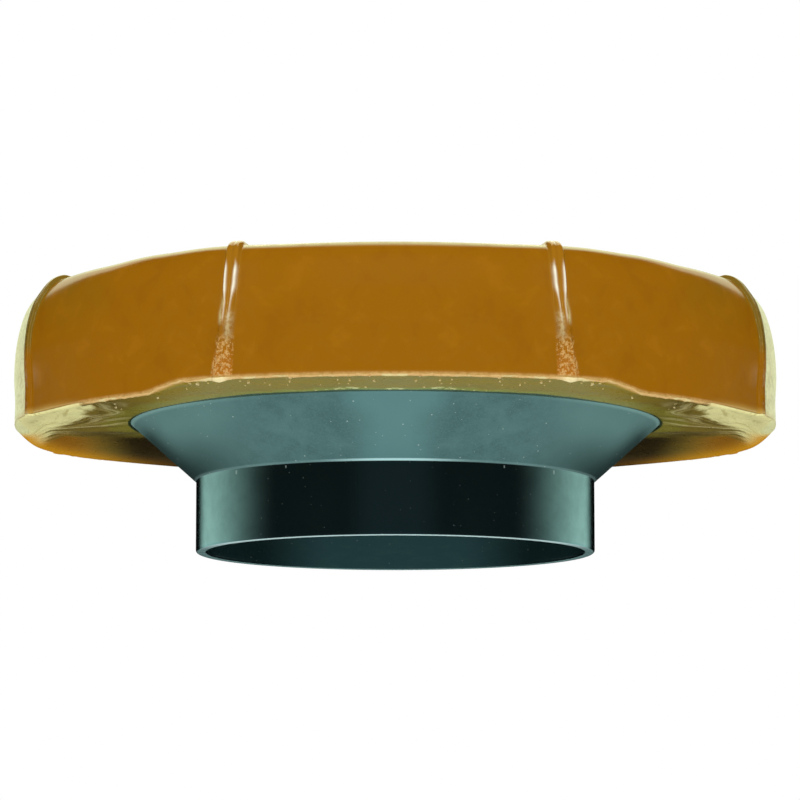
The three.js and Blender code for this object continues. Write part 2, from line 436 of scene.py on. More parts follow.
def far_colour(paint, below, masks, across, depth, long_strokes):
    """Far part of the underside: burnt orange with painted shade towards the cone, and a lip painted golden
    as if lit through from behind, with painted shade near the cone.
    """
    ragged_depth = paint.total(depth, paint.span(long_strokes, 0.3, 0.7, -5 * MM, 5 * MM))
    stroke = paint.product(
        paint.fade(paint.apart(ragged_depth, 13 * MM), 0.5, 4, 1, 0),
        paint.fade(across, 50, 56),
        paint.fade(across, 61, 64.5, 0.7, 0),
    )
    shade = paint.product(paint.fade(across, 63, 51), paint.fade(ragged_depth, 4, 24))
    return paint.layers(
        below,
        (stroke, DARK_SMEAR),
        (paint.fade(ragged_depth, 13, 22), paint.blend(paint.fade(across, 55, 66), TAN, BURNT)),
        (paint.product(shade, 0.92), SHADE_BROWN),
        # crest of the side lip: painted reflection in pale cream
        (paint.product(paint.fade(across, 69.6, 70.6), paint.fade(depth, -1, 5, 1, 0)), SCUFF_AND_REFLECTION_CREAM),
        # the lip: painted light shining through, with painted shade near the cone
        (
            paint.product(masks["lip"], paint.fade(depth, 1, 9)),
            paint.blend(paint.fade(across, 44, 66), LIP_SHADE_GOLD, LIP_GLOW_GOLD),
        ),
    )


def wax_material():
    material, paint = new_material("wax")
    place, across, depth, height = paint.position()
    masks = {title: paint.attribute(title) for title in WAX_MASKS}
    side, under = masks["side_face"], masks["underside"]
    strokes = paint.attribute("strokes", "Vector")
    long_strokes = paint.noise(paint.stretch(strokes, (1, 0.13, 1)), 4.2, 5, 0.62, 0.6)
    dark_strokes = paint.noise(paint.stretch(strokes, (1, 0.1, 1)), 3.1, 4, 0.6, 0.9)
    fine = paint.noise(place, 1.6, 3, 0.6)
    grit = paint.noise(place, 0.62, 3, 0.75)
    scuffs = paint.noise(paint.stretch(place, (1, 0.22, 0.8)), 0.9, 4, 0.7, 0.4)

    # Left and right faces are pale with scuffs and a painted reflection, and the rim of the shoulder gets a
    # painted highlight
    scuffs_and_reflection = paint.blend(paint.span(scuffs, 0.46, 0.6), SCUFF_AND_REFLECTION_CREAM, SCUFF_AND_REFLECTION_GREEN)
    scuff_and_reflection_share = paint.span(paint.noise(place, 5, 4, 0.65), 0.3, 0.7, 0.52, 0.84)
    top_highlight_breakup = paint.span(paint.noise(place, 3, 3, 0.6), 0.25, 0.5, 0.6, 0.95)
    colour = face_colour(paint, place, across, height, fine)
    colour = paint.blend(paint.product(side, scuff_and_reflection_share), colour, scuffs_and_reflection)
    colour = rib_colour(paint, colour, masks, across, height, grit)
    # painted highlight along the rim of the shoulder, broken up by noise
    colour = paint.blend(paint.product(masks["top_edge"], top_highlight_breakup), colour, TOP_EDGE_HIGHLIGHT)

    # Underside, with a dark green line of painted shade where it meets the cone
    below = underside_colour(paint, masks, place, across, fine)
    below = brushed_colour(paint, below, masks, long_strokes, dark_strokes)
    below = far_colour(paint, below, masks, across, depth, long_strokes)
    width = paint.fade(across, 26, 46, 2.9 * MM, 0.6 * MM)
    contact = paint.span(masks["from_cone"], paint.product(width, 0.5), width, 0.95, 0)
    below = paint.blend(contact, below, CONTACT_SHADE_GREEN)

    # Bottom edge: a wide soft fringe at the left and right, and a thin one at the front and back
    ragged = paint.noise(place, 1.1, 3, 0.65)
    fringe = paint.product(masks["edge"], paint.span(ragged, 0.3, 0.65, 0.45, 0.95))
    colour = paint.layers(colour, (masks["soft_edge"], SOFT_PEACH), (under, below), (fringe, PEACH_CREAM))

    # Relief, and gloss that is duller on the underside and on the worn faces
    normal = paint.bump(paint.noise(place, 9, 2, 0.5), 0.2, 0.3)
    pebble = paint.total(
        paint.product(side, scuffs),
        paint.product(masks["crumbly"], grit),
        paint.product(masks["pale_zone"], long_strokes),
    )
    worn_gloss = paint.product(side, 0.25)
    rough = paint.total(paint.span(fine, 0.3, 0.7, 0.14, 0.18), paint.product(under, 0.13), worn_gloss)
    paint.surface({
        "Base Color": colour,
        "Roughness": rough,
        "IOR": WAX_IOR,
        "Normal": paint.bump(pebble, 0.3, 0.7, normal),
        "Sheen Weight": side,
        "Sheen Roughness": 0.35,
        "Sheen Tint": SIDE_SHEEN,
        "Coat Weight": masks["rib"],
        "Coat Roughness": 0.13,
        "Coat IOR": 1.5,
    })
    return material


def crumb_material():
    material, paint = new_material("wax_crumbs")
    place = paint.position()[0]
    grit = paint.noise(place, 0.7, 3, 0.7)
    lumps = paint.noise(place, 3.5, 2, 0.5)
    colour = paint.layers(
        ORANGE,
        (paint.span(grit, 0.3, 0.5, 0.55, 1), PEACH_CREAM),
        (paint.span(lumps, 0.46, 0.62, 0.1, 0.75), CREAM),
        (paint.attribute("chunk"), TORN_CREAM),
    )
    normal = paint.bump(grit, 0.2, 0.6)
    paint.surface({"Base Color": colour, "Roughness": 0.5, "IOR": WAX_IOR, "Normal": normal})
    return material


SPIGOT_COLOUR = (0.0045, 0.0105, 0.0115)
SPIGOT_BLUE = (0.0085, 0.02, 0.0245)
# painted highlight towards each side of the spigot
SPIGOT_HIGHLIGHT = (0.29, 0.59, 0.555)
# The cone's colours stand partly for dust and partly for a painted reflection of the pale table below; the
# dark one is painted shade on the cone
CONE_COLOUR = (0.067, 0.158, 0.158)
CONE_PALE = (0.125, 0.27, 0.26)
CONE_DARK = (0.024, 0.062, 0.059)
CONE_EDGE = (0.26, 0.48, 0.44)
CONE_CENTRE_REFLECTION = (0.118, 0.27, 0.272)
# painted highlight along the neck
NECK_HIGHLIGHT = (0.6, 0.95, 0.96)
INSIDE_COLOUR = (0.018, 0.05, 0.055)
INSIDE_DARK = (0.003, 0.0085, 0.0085)
# painted highlights on the lower rim, brighter at the front than at the back
RIM_NEAR_HIGHLIGHT = (0.72, 0.98, 0.98)
RIM_FAR_HIGHLIGHT = (0.19, 0.33, 0.32)
DUST = (0.6, 0.74, 0.72)
SPECULAR_TINT = (0.62, 1.0, 0.97, 1)

# Burrs under the neck: distance from the middle, half width, and length
BURRS = [(29.4 * MM, 0.2 * MM, 0.8 * MM), (20 * MM, 0.16 * MM, 0.5 * MM)]
BURR_TOP = 13.2 * MM


def cone_colour(paint, across, height, mottle, grain):
    """A grey-green film, partly dust and partly a painted reflection of the pale table: a painted highlight
    in the middle, paler towards the sides and along the upper edge, and painted shade low at the sides.
    """
    ragged_middle = paint.total(across, paint.span(mottle, 0.3, 0.7, -1.6 * MM, 1.6 * MM))
    off_middle = paint.math("SUBTRACT", ragged_middle, paint.fade(height, 19, 24, 0, 2.5 * MM))
    low = paint.span(height, NECK_HEIGHT, 22 * MM, 1, 0)
    limb = paint.product(paint.attribute("limb"), paint.fade(height, 21, 24.3, 0.92, 0.1))
    upper_edge = paint.product(paint.fade(height, 24, 24.5), paint.fade(across, 24, 46, 0.05, 0.6))
    return paint.layers(
        CONE_COLOUR,
        (paint.span(mottle, 0.35, 0.7, 0, 0.5), CONE_PALE),
        (paint.span(grain, 0.42, 0.7, 0, 0.45), CONE_PALE),
        # painted reflection of the table in the middle
        (paint.fade(off_middle, 2, 9, 0.95, 0), CONE_CENTRE_REFLECTION),
        (paint.fade(across, 22, 36, 0, 0.85), CONE_PALE),
        # painted shade low at the sides and towards the cone's left and right edges
        (paint.product(low, paint.fade(across, 22, 40)), CONE_DARK),
        (limb, CONE_DARK),
        (upper_edge, CONE_EDGE),
    )


def horn_dust(paint, place, cone):
    """Specks, partly in clusters, many on the cone and few elsewhere."""
    anywhere = paint.place()
    coarse = paint.specks(anywhere, 1.3, 0.4, 0.11)
    fine = paint.specks(anywhere, 0.9, 0.18, 0.15)
    clusters = paint.span(paint.noise(place, 12, 2, 0.5), 0.4, 0.6)
    dust = paint.total(paint.product(coarse, 0.8), paint.product(fine, clusters, 0.4))
    return paint.product(paint.math("MINIMUM", dust, 1.0), paint.span(cone, 0, 1, 0.1, 0.85))


def horn_burr(paint, across, height, burr):
    """Where a burr stands."""
    centre, half, length = burr
    narrow = paint.span(paint.apart(across, centre), half * 0.4, half, 1, 0)
    low_end = paint.span(height, BURR_TOP - length, BURR_TOP - length * 0.6)
    high_end = paint.span(height, BURR_TOP, BURR_TOP + 0.1 * MM, 1, 0)
    return paint.product(narrow, low_end, high_end)


def horn_material():
    material, paint = new_material("horn_plastic")
    place, across, depth, height = paint.position()
    inside = paint.attribute("inside")
    outer = paint.math("SUBTRACT", 1.0, inside)
    cone = paint.product(outer, paint.span(height, NECK_EDGE - 0.1 * MM, NECK_EDGE + 0.05 * MM))
    mottle = paint.noise(place, 6, 4, 0.65, 0.3)
    grain = paint.noise(place, 0.35, 3, 0.7)
    wipes = paint.noise(paint.stretch(place, (0.25, 0.25, 1)), 1.5, 4, 0.7, 0.4)
    dust = horn_dust(paint, place, cone)

    # Spigot: nearly black, a little bluer in the middle, with a painted highlight towards each side
    side_highlight = paint.product(paint.attribute("side_highlight"), paint.span(mottle, 0.3, 0.7, 0.8, 1))

    # Neck: a painted highlight line, brightest in the middle
    off_neck = paint.apart(height, NECK_EDGE + 0.12 * MM)
    neck_highlight = paint.product(outer, paint.fade(off_neck, 0.1, 0.28, 1, 0), paint.fade(across, 2, 16, 0.9, 0.12))

    # Inside: wiped pale in the middle, black towards the sides
    lining = paint.blend(paint.span(wipes, 0.45, 0.7, 0, 0.6), INSIDE_COLOUR, CONE_DARK)
    lining = paint.blend(paint.fade(across, 12, 28, 0, 0.9), lining, INSIDE_DARK)

    # The lower rim: a painted highlight, brighter at the front than at the back
    rim_highlight = paint.blend(paint.fade(depth, -26, -4), RIM_NEAR_HIGHLIGHT, RIM_FAR_HIGHLIGHT)
    colour = paint.layers(
        SPIGOT_COLOUR,
        (paint.fade(across, 3, 10, 1, 0), SPIGOT_BLUE),
        (side_highlight, SPIGOT_HIGHLIGHT),
        (cone, cone_colour(paint, across, height, mottle, grain)),
        (neck_highlight, NECK_HIGHLIGHT),
        (inside, lining),
        (paint.fade(height, 0.02, 0.12, 1, 0), rim_highlight),
        (dust, DUST),
    )
    for burr in BURRS:
        shown = paint.product(horn_burr(paint, across, height, burr), outer, 0.35)
        colour = paint.blend(shown, colour, DUST)

    pebble = paint.total(grain, paint.product(dust, 2.0))
    rough = paint.total(paint.span(mottle, 0.3, 0.7, 0.18, 0.23), paint.product(cone, 0.3))
    paint.surface({
        "Base Color": colour,
        "Roughness": rough,
        "IOR": HORN_IOR,
        "Specular Tint": SPECULAR_TINT,
        "Normal": paint.bump(pebble, 0.04, 0.4),
    })
    return material


# The wax ring

def outline_radius(turn, corner):
    """Distance from the axis to the ring's outline, at angles from the front and for sizes of corner."""
    quarter = math.pi / 2
    from_main = np.abs(turn - quarter * np.round(turn / quarter))
    on_main = from_main <= MAIN_HALF
    half = np.where(on_main, MAIN_HALF, CORNER_HALF)
    from_middle = np.where(on_main, from_main, quarter / 2 - from_main)
    middle = corner * np.cos(half) + FACE_BULGE
    half_width = corner * np.sin(half)
    slope = np.tan(from_middle)
    root = np.sqrt(half_width ** 2 + 4 * FACE_BULGE * slope ** 2 * middle)
    share = 2 * slope * middle / (half_width + root)
    return np.hypot(middle - FACE_BULGE * share ** 2, half_width * share)


def corner_turns():
    """The angles of the eight corners from the front, on the way round."""
    quarters = np.arange(4) * math.pi / 2
    return np.sort(np.concatenate([quarters + MAIN_HALF, quarters + math.pi / 2 - MAIN_HALF]))


def station_turns():
    """The angles of the sections: close together across the ribs, and even along the faces."""
    corners = corner_turns()
    reach = RIB_REACH / CORNER_RADIUS
    turns = []
    for corner, following in zip(corners, np.append(corners[1:], corners[0] + 2 * math.pi)):
        turns.append(np.linspace(corner - reach, corner + reach, RIB_STATIONS, endpoint=False))
        turns.append(np.linspace(corner + reach, following - reach, FACE_STATIONS, endpoint=False))
    return np.concatenate(turns)


def folded(turn):
    """Angle from the front, from 0 to pi, alike on both sides."""
    return np.abs((turn + math.pi) % (2 * math.pi) - math.pi)


def across_rib(turn):
    """Signed distance to the middle of the nearest rib, growing towards the back on both sides."""
    apart = folded(turn)[:, None] - corner_turns()[None, :4]
    nearest = np.abs(apart).argmin(axis=1)
    return apart[np.arange(len(turn)), nearest] * CORNER_RADIUS


def eased(turn, stations, values):
    """A value at each angle from the front, with a smooth step between its stations."""
    turned = folded(turn)
    following = np.clip(np.searchsorted(stations, turned), 1, len(stations) - 1)
    share = smooth(turned, stations[following - 1], stations[following])
    return values[following - 1] * (1 - share) + values[following] * share


def lip_depth(turn):
    """Depth of the lip below the underside."""
    return eased(turn, LIP_TURNS, LIP_DEPTHS)


def rib_bow(turn, height):
    """How far the nearest rib lies towards the back: each bows away from the slanted face beside it."""
    past_middle = folded(turn) % (math.pi / 2) > math.pi / 4
    return np.where(past_middle, -1, 1) * np.interp(height, RIB_STATIONS_UP, RIB_SHIFTS)


def rib_lift(across, height):
    """Height of the rib above the face: two ridges with a groove between them, and steep flanks."""
    half = np.interp(height, RIB_STATIONS_UP, RIB_HALVES)
    apart = np.interp(height, RIB_STATIONS_UP, RIDGES_APART)
    distance = np.abs(across)
    crown = RIB_HEIGHT - (distance - apart) ** 2 / (2 * RIDGE_ROUNDING)
    flank = smooth(half - distance, 0, RIB_FLANK)
    return crown * flank * (1 + 0.35 * smooth(height, WAX_TOP - 3 * MM, WAX_TOP - 0.5 * MM))


def side_rows(foot_height):
    """Rows up the side: height above zero, inset of the corner, and facing outwards and upwards."""
    draft_inset = math.tan(FACE_DRAFT) * FACE_HEIGHT
    share = np.linspace(0, 1, FACE_ROWS, endpoint=False)
    low = foot_height[:, None] * (1 - share) + SHOULDER_FOOT * share
    turn = np.linspace(0, math.pi / 2, SHOULDER_ROWS)
    high = SHOULDER_FOOT + SHOULDER_HEIGHT * np.sin(turn)
    heights = np.hstack([low, np.tile(high, (len(foot_height), 1))])
    insets = np.concatenate([draft_inset * share, draft_inset + SHOULDER_WIDTH * (1 - np.cos(turn))])
    outward = np.concatenate([np.ones(FACE_ROWS), np.cos(turn) / SHOULDER_WIDTH])
    upward = np.concatenate([np.zeros(FACE_ROWS), np.sin(turn) / SHOULDER_HEIGHT])
    length = np.hypot(outward, upward)
    return heights, insets, outward / length, upward / length


def wax_sections(turns):
    """Sections of the ring at the given angles. Each is one closed row of radii and levels: up the side,
    over the top, down the bore, round the flange's seat, and under the ring out to the lip."""
    ones = np.ones(len(turns))
    lip = lip_depth(turns)
    lip_foot = UNDERSIDE - lip
    foot = outline_radius(turns, CORNER_RADIUS)
    heights, insets, outward, upward = side_rows(lip_foot + LIP_ROUNDING)
    side = np.array([outline_radius(turns, CORNER_RADIUS - inset) for inset in insets]).T
    lift = rib_lift(across_rib(turns)[:, None] - rib_bow(turns[:, None], heights), heights)
    radii = [side + lift * outward]
    levels = [heights + lift * upward]

    def add(radius, level):
        radii.append((ones * radius)[:, None])
        levels.append((ones * level)[:, None])

    # Flat top, the rounded mouth of the bore, and the bore
    edge = side[:, -1]
    bore_foot = UNDERSIDE - BORE_DIP
    bore_radius = cone_radius(bore_foot, -HORN_WALL - SEAT_GAP)
    bore_top = bore_radius + math.tan(BORE_DRAFT) * (WAX_TOP - bore_foot)
    mouth_radius = bore_top + BORE_ROUNDING
    mouth_foot = WAX_TOP - BORE_ROUNDING
    for share in np.linspace(0, 1, TOP_ROWS + 1)[1:]:
        fade = 1 - smooth((edge - mouth_radius) * share, 0, RIB_END)
        add(edge * (1 - share) + mouth_radius * share, WAX_TOP + lift[:, -1] * fade)
    for turn in np.linspace(0, math.pi / 2, ROUNDING_STEPS + 1)[1:]:
        add(mouth_radius - BORE_ROUNDING * math.sin(turn), mouth_foot + BORE_ROUNDING * math.cos(turn))
    for share in np.linspace(0, 1, ROUNDING_STEPS + 1)[1:]:
        add(bore_top * (1 - share) + bore_radius * share, mouth_foot * (1 - share) + bore_foot * share)

    # Seat round the flange
    above, below = FLANGE_TOP + SEAT_GAP, FLANGE_UNDERSIDE - SEAT_GAP
    add(cone_radius(above, -HORN_WALL - SEAT_GAP), above)
    add(FLANGE_RADIUS + SEAT_GAP, above)
    add(FLANGE_RADIUS + SEAT_GAP, below)
    add(cone_radius(below, SEAT_GAP), below)

    # Underside, from the cone out to the lip, and the lip
    contact = cone_radius(UNDERSIDE, SEAT_GAP)
    lip_root = foot - LIP_WIDTH
    underside_from = sum(block.shape[1] for block in radii)
    for share in np.linspace(0, 1, UNDERSIDE_ROWS):
        add(contact * (1 - share) + lip_root * share, UNDERSIDE)
    for share in np.linspace(0, 1, LIP_ROWS + 1)[1:]:
        add(lip_root + (LIP_WIDTH - LIP_CREST) * share, UNDERSIDE - lip * smooth(share, 0, 1))
    outer_foot = foot + lift[:, 0] - LIP_ROUNDING
    for turn in np.linspace(0, math.pi / 2, LIP_STEPS)[:-1]:
        add(outer_foot + LIP_ROUNDING * math.sin(turn), lip_foot + LIP_ROUNDING * (1 - math.cos(turn)))

    ring = SimpleNamespace(turns=turns, radius=np.hstack(radii), level=np.hstack(levels))
    ring.foot, ring.lip_foot, ring.edge = foot[:, None], lip_foot[:, None], edge[:, None]
    ring.contact, ring.bore_top = contact, bore_top
    ring.points = around_axis(turns[:, None], ring.radius, ring.level)
    ring.on_side = np.zeros(ring.radius.shape)
    ring.on_side[:, :FACE_ROWS + SHOULDER_ROWS] = 1
    ring.is_under = np.zeros(ring.radius.shape)
    ring.is_under[:, underside_from:] = 1
    ring.is_inner = (1 - ring.on_side) * (1 - ring.is_under)
    return ring


# Where the marks of the wax fade in and out: heights on the ribs and side, and angles from the front
# the ridges' painted highlights show between the first pair of heights and are brightest between the second
RIDGE_SEEN = np.array([34, 36, 44, 46]) * MM
RIDGE_BRIGHT = np.array([38.6, 40.6, 43.2, 45.8]) * MM
SILVER_SEEN = np.array([30.5, 32.5, 35.5, 37]) * MM
CHUNKS_SEEN = np.array([33.8, 35, 37.5, 39.5]) * MM
SIDE_FULL = np.array([27 * MM, 33 * MM, 44 * MM, WAX_TOP])
FRONT_RIBS = np.radians([40, 50])
FRONT_LIP = np.radians([46, 56])
SIDE_LIP = np.radians([48, 60, 110, 125])
SIDE_FACE_BLUR = 0.06  # radians
BACK_RIB_SHARE = 0.12  # how much the ribs at the back are torn, beside those at the front


def rib_masks(ring):
    """Masks for the bead of the ribs, the painted highlights on its two ridges, silvery grit, and pale and
    torn crumbs.
    """
    level = ring.level
    signed = across_rib(ring.turns)[:, None] - rib_bow(ring.turns[:, None], level)
    distance = np.abs(signed)
    half = np.interp(level, RIB_STATIONS_UP, RIB_HALVES)
    near_rib = 1 - smooth(distance, half - 0.1 * MM, half + 0.5 * MM)
    front = 1 - smooth(folded(ring.turns)[:, None], *FRONT_RIBS)
    smooth_part = smooth(level, RIB_SMOOTH_FROM - 2 * MM, RIB_SMOOTH_FROM + 2 * MM)
    torn = near_rib * (1 - smooth_part) * ring.on_side
    torn = torn * (BACK_RIB_SHARE + (1 - BACK_RIB_SHARE) * front)
    on_front = ring.on_side * front

    # Painted highlights along the ridges: brightest high up, thin and broken below
    apart = np.interp(level, RIB_STATIONS_UP, RIDGES_APART)
    bright = between(level, *RIDGE_BRIGHT)
    ridge_glint = hump(distance, apart, (0.13 + 0.16 * bright) * MM) * (0.5 + 0.5 * bright)
    low = 1 - smooth(level, 38 * MM, 40 * MM)
    broken = 1 + (0.1 + 0.5 * low) * ripple(ring.points, 1.4, 6)
    ridge_highlight = np.clip(ridge_glint * between(level, *RIDGE_SEEN) * broken, 0, 1)

    # Below them, silvery grit on the front half of the rib, and pale chunks along its other edge
    silvery = hump(signed, -0.6 * MM, 0.6 * MM) * between(level, *SILVER_SEEN)
    chunky = hump(signed, 1.15 * MM, 0.38 * MM) * between(level, *CHUNKS_SEEN) * on_front
    chunky = np.clip(chunky * (0.9 + 0.9 * ripple(ring.points, 0.9, 16)), 0, 1)
    ring.near_rib, ring.torn = near_rib, torn
    return {
        "rib": near_rib * smooth_part * ring.on_side,
        "ridge_highlight": ridge_highlight * on_front,
        "crumbly": torn * front,
        "silvery": silvery * on_front,
        "chunky": chunky,
    }


def edge_masks(ring):
    """Masks for the left and right faces, the underside, and the edges at the top and bottom."""
    turned = folded(ring.turns)[:, None]
    off_side = np.abs(turned - math.pi / 2)
    facing_side = 1 - smooth(off_side, MAIN_HALF - SIDE_FACE_BLUR, MAIN_HALF)
    at_side = between(turned, *SIDE_LIP)
    near_front = 1 - smooth(turned, *FRONT_LIP)
    above_foot = ring.level - ring.lip_foot
    past_foot = ring.radius - ring.foot
    fringe = (1 - smooth(above_foot, 0.2 * MM, 0.9 * MM)) * ring.on_side
    fringe = fringe + ring.is_under * smooth(past_foot, -1.5 * MM, -0.6 * MM) * near_front
    soft_edge = (1 - smooth(above_foot, -0.2 * MM, 1.9 * MM)) * ring.on_side * at_side
    past_lip_root = past_foot + LIP_WIDTH
    flat_top = ring.is_inner * (ring.level > WAX_TOP - 0.01 * MM)
    # The top edge: the band that carries the painted highlight
    top_edge = ring.on_side * smooth(ring.level, WAX_TOP - 1 * MM, WAX_TOP - 0.45 * MM)
    top_edge = top_edge * (1 - ring.near_rib)
    top_edge = top_edge + flat_top * (1 - smooth(ring.edge - ring.radius, 0, 2.5 * MM))
    return {
        "side_face": facing_side * ring.on_side,
        "underside": ring.is_under,
        "edge": fringe * (1 - at_side),
        "soft_edge": soft_edge,
        "lip": ring.is_under * smooth(past_lip_root, 1 * MM, LIP_WIDTH - 0.5 * MM),
        "top_edge": top_edge,
        "from_cone": ring.is_under * (ring.radius - ring.contact) + (1 - ring.is_under),
    }


STROKE_FAN = np.array([-72 * MM, 8 * MM])  # the point on the side's lip that the strokes fan out from


def stroke_masks(ring):
    """Brush strokes that fan out over the underside, and the zones where they are pale and mixed."""
    mirrored = np.stack([-np.abs(ring.points[..., 0]), ring.points[..., 1]], axis=-1)
    aside, depth = mirrored[..., 0], mirrored[..., 1]
    ray = mirrored - STROKE_FAN
    reach = np.hypot(ray[..., 0], ray[..., 1])
    bearing = np.arctan2(ray[..., 0], -ray[..., 1])
    bearing = bearing + 0.1 * ripple(ring.points, 9, 7) + reach / (90 * MM)
    inner_line = (aside + 67 * MM) + (depth - 9 * MM) / 3
    pale = (1 - smooth(inner_line, -3 * MM, 3.5 * MM)) * (1 - smooth(aside, -58.5 * MM, -54 * MM))
    mixed = smooth(-aside, 46 * MM, 53 * MM) * (1 - smooth(depth, 14 * MM, 22 * MM))
    return {
        "strokes": np.stack([bearing * 26 * MM, reach, np.zeros_like(reach)], axis=-1),
        "pale_zone": ring.is_under * pale,
        "mixed_zone": ring.is_under * mixed,
    }


def uneven_points(ring, lip_share):
    """The ring's points with torn crumbs, full left and right shoulders and an uneven top and underside."""
    points, radius, level = ring.points, ring.radius, ring.level
    crumbs = ring.torn * (0.2 * ripple(points, 0.7, 1) + 0.16 * ripple(points, 0.4, 2)) * MM
    off_side = np.abs(folded(ring.turns)[:, None] - math.pi / 2)
    beside = 1 - smooth(off_side, math.radians(20), math.radians(32))
    fullness = beside * between(level, *SIDE_FULL) * ring.on_side
    radius = radius + crumbs + fullness * SIDE_FULLNESS
    swell = eased(ring.turns, SWELL_TURNS, SWELLS)[:, None] * smooth(level, SHOULDER_FOOT, WAX_TOP)
    level = level + swell * (ring.on_side + ring.is_inner * smooth(radius - ring.bore_top, 0, 8 * MM))
    uneven = ring.is_under * (0.1 * ripple(points, 5, 3) + 0.05 * ripple(points, 1.5, 4)) * MM
    uneven = uneven * smooth(radius - ring.contact, 0, 2 * MM) * (1 - lip_share)
    top = ring.is_inner * (level > WAX_TOP - 0.5 * MM)
    uneven = uneven + top * 0.12 * MM * ripple(points, 8, 5)
    return around_axis(ring.turns[:, None], radius, level + uneven)


def wax_ring():
    ring = wax_sections(station_turns())
    masks = {**rib_masks(ring), **edge_masks(ring), **stroke_masks(ring)}
    points = uneven_points(ring, masks["lip"])
    faces = grid_faces(*ring.radius.shape)
    made = mesh_object("poured_wax_ring", points, faces, wax_material(), masks)
    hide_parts("wax_ring")
    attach(made, "root")


# Crumbly flash along the bottom edge of the faces, and loose crumbs on the underside

FLASH_STATIONS = 2400
FLASH_SIDES = 8
FLASH_RADIUS = 0.2 * MM
FLASH_LEAST = 0.02 * MM
CRUMBS = 46  # on each side of the middle
CRUMB_TURNS = (3, 62)  # degrees from the front to the first, and from there to the last
CRUMB_PALENESS = 0.75
BLOCK_CORNERS = np.array(list(np.ndindex(2, 2, 2))) * 2 - 1
BLOCK_FACES = np.array([(0, 1, 3, 2), (4, 6, 7, 5), (0, 4, 5, 1), (2, 3, 7, 6), (0, 2, 6, 4), (1, 5, 7, 3)])


def loose_crumbs():
    """Points and faces of crumbs that stick to the underside at the front, alike left and right."""
    number = np.arange(CRUMBS)
    chance = [hashed(np.stack([number, number * 0 + axis, number * 0], axis=-1), 21) for axis in range(3)]
    turn = np.radians(CRUMB_TURNS[0] + CRUMB_TURNS[1] * chance[0])
    inner = cone_radius(UNDERSIDE, 0) + 2 * MM
    outer = outline_radius(turn, CORNER_RADIUS) - 1 * MM
    reach = inner + (outer - inner) * np.sqrt(chance[1])
    size = (0.08 + 0.15 * chance[2] ** 2) * MM
    blocks = []
    for mirror in (1, -1):
        centre = around_axis(mirror * turn, reach, UNDERSIDE)[:, None]
        offset = BLOCK_CORNERS * size[:, None, None]
        uneven = 1 + 0.45 * ripple(centre + offset, 0.2, 22)[..., None]
        blocks.append((centre + offset * uneven).reshape(-1, 3))
    first_points = np.arange(2 * CRUMBS)[:, None, None] * len(BLOCK_CORNERS)
    return np.concatenate(blocks), (BLOCK_FACES + first_points).reshape(-1, 4)


def wax_flash():
    turns = np.linspace(0, 2 * math.pi, FLASH_STATIONS, endpoint=False)
    across = across_rib(turns)
    turned = np.degrees(folded(turns))
    foot = outline_radius(turns, CORNER_RADIUS)
    foot = foot + rib_lift(across - rib_bow(turns, UNDERSIDE), UNDERSIDE)
    level = UNDERSIDE - lip_depth(turns)
    line = around_axis(turns, foot, level)
    lumps = 0.5 * ripple(line, 2.2, 11) + 0.5 * ripple(line, 0.8, 12)

    # Thick at the feet of the front ribs, ragged along the slanted faces, and thin elsewhere
    at_rib = hump(across, 0.6 * MM, 1.9 * MM) * (1 - smooth(turned, 40, 50))
    at_rib = at_rib * (1 + 0.5 * ripple(line, 1, 15))
    ragged = 0.7 * between(turned, 26, 32, 44, 50)
    share = 1 - smooth(turned, 46, 56) + 0.75 * between(turned, 112, 120, 126, 132)
    thickness = FLASH_RADIUS * (1 + (0.45 + 0.4 * ragged) * lumps + 1.1 * at_rib) * share + FLASH_LEAST
    inward = 0.1 * ripple(line, 0.9, 13) - 0.25 - 0.25 * (1 - share)
    lift = 0.1 + (0.1 + 0.15 * ragged) * ripple(line, 1.3, 14) - 0.2 * at_rib + 0.2 * (1 - share)
    around = np.linspace(0, 2 * math.pi, FLASH_SIDES, endpoint=False)
    radius = (foot + inward * MM)[:, None] + thickness[:, None] * np.cos(around)
    height = (level + lift * MM)[:, None] + thickness[:, None] * np.sin(around)
    points = around_axis(turns[:, None], radius, height)
    chunk = np.clip(at_rib, 0, 1)[:, None] * np.ones(FLASH_SIDES)

    crumbs, crumb_faces = loose_crumbs()
    faces = np.concatenate([grid_faces(*chunk.shape), crumb_faces + chunk.size])
    points = np.concatenate([points.reshape(-1, 3), crumbs])
    chunk = np.concatenate([chunk.ravel(), np.full(len(crumbs), CRUMB_PALENESS)])
    made = mesh_object("wax_flash", points, faces, crumb_material(), {"chunk": chunk})
    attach(made, "root")


# The plastic horn

def rounded_outline(corners):
    """A closed outline of radius and height through corners of (radius, height, rounding)."""
    points = []
    for index, (radius, height, rounding) in enumerate(corners):
        corner = np.array([radius, height])
        before = np.array(corners[index - 1][:2]) - corner
        after = np.array(corners[(index + 1) % len(corners)][:2]) - corner
        run = np.linalg.norm(after)
        before, after = before / np.linalg.norm(before), after / run
        reach = rounding / math.tan(math.acos(before @ after) / 2)
        for share in np.linspace(0, 1, ROUNDING_STEPS + 1):
            first = corner + before * reach * (1 - share)
            second = corner + after * reach * share
            points.append(first * (1 - share) + second * share)
        for step in range(1, round(run / WALL_STEP)):
            points.append(corner + after * run * step / round(run / WALL_STEP))
    return np.array(points)


HORN_SHARP = math.radians(60)


